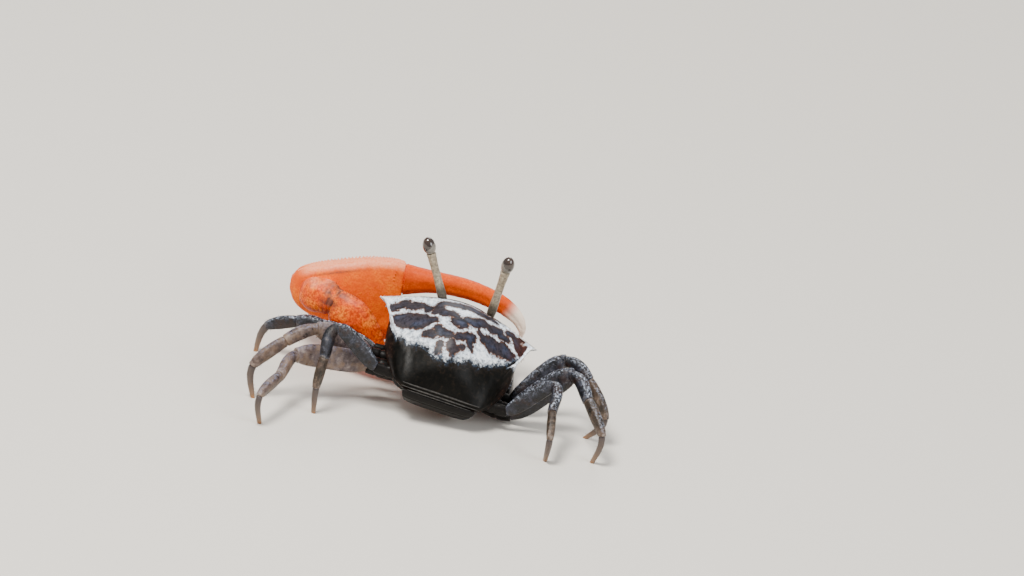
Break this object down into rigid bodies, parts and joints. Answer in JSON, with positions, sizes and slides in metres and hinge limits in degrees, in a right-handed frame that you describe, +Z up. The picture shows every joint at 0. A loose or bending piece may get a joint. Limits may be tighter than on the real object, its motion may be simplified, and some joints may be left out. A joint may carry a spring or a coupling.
{
  "type": "fiddler crab model",
  "caption": "Still life-size model of a male fiddler crab, standing on its walking legs with its large claw held across the front and its eyes raised on long stalks.",
  "frame": {"origin": "on the floor, under the middle of the crab's bounding box", "axes": "+X towards the crab's left, the side of its big claw; -Y towards its front; +Z up"},
  "size_m": [0.0442, 0.0326, 0.02],
  "materials": {
    "carapace_shell": "glossy black shell with a pale blue and slate marbled front half",
    "underside_shell": "satin grey-brown shell",
    "leg_shell": "satin shell, mottled blue-grey and brown with pale bands",
    "toe_shell": "matt orange-brown horn",
    "big_claw_shell": "finely grained orange shell that fades to white at the moving finger's tip",
    "small_claw_shell": "satin orange-brown shell",
    "eyestalk": "beige-grey speckled skin",
    "cornea": "glossy dark brown cornea"
  },
  "bodies": {
    "root": {"carapace": "carapace_shell", "thorax": "underside_shell", "pleon": "underside_shell", "maxilliped_left": "underside_shell", "eyestalk_left": "eyestalk", "eye_left": "cornea", "antenna_left": "eyestalk", "maxilliped_right": "underside_shell", "eyestalk_right": "eyestalk", "eye_right": "cornea", "antenna_right": "eyestalk", "big_claw_merus": "big_claw_shell", "big_claw_carpus": "big_claw_shell", "big_claw_palm": "big_claw_shell", "big_claw_dactyl": "big_claw_shell", "small_claw_merus": "small_claw_shell", "small_claw_carpus": "small_claw_shell", "small_claw_palm": "small_claw_shell", "small_claw_dactyl": "small_claw_shell", "leg_left_1_merus": "leg_shell", "leg_left_1_carpus": "leg_shell", "leg_left_1_propodus": "leg_shell", "leg_left_1_dactyl": "toe_shell", "leg_left_2_merus": "leg_shell", "leg_left_2_carpus": "leg_shell", "leg_left_2_propodus": "leg_shell", "leg_left_2_dactyl": "toe_shell", "leg_left_3_merus": "leg_shell", "leg_left_3_carpus": "leg_shell", "leg_left_3_propodus": "leg_shell", "leg_left_3_dactyl": "toe_shell", "leg_left_4_merus": "leg_shell", "leg_left_4_carpus": "leg_shell", "leg_left_4_propodus": "leg_shell", "leg_left_4_dactyl": "toe_shell", "leg_right_1_merus": "leg_shell", "leg_right_1_carpus": "leg_shell", "leg_right_1_propodus": "leg_shell", "leg_right_1_dactyl": "toe_shell", "leg_right_2_merus": "leg_shell", "leg_right_2_carpus": "leg_shell", "leg_right_2_propodus": "leg_shell", "leg_right_2_dactyl": "toe_shell", "leg_right_3_merus": "leg_shell", "leg_right_3_carpus": "leg_shell", "leg_right_3_propodus": "leg_shell", "leg_right_3_dactyl": "toe_shell", "leg_right_4_merus": "leg_shell", "leg_right_4_carpus": "leg_shell", "leg_right_4_propodus": "leg_shell", "leg_right_4_dactyl": "toe_shell"}
  },
  "joints": []
}
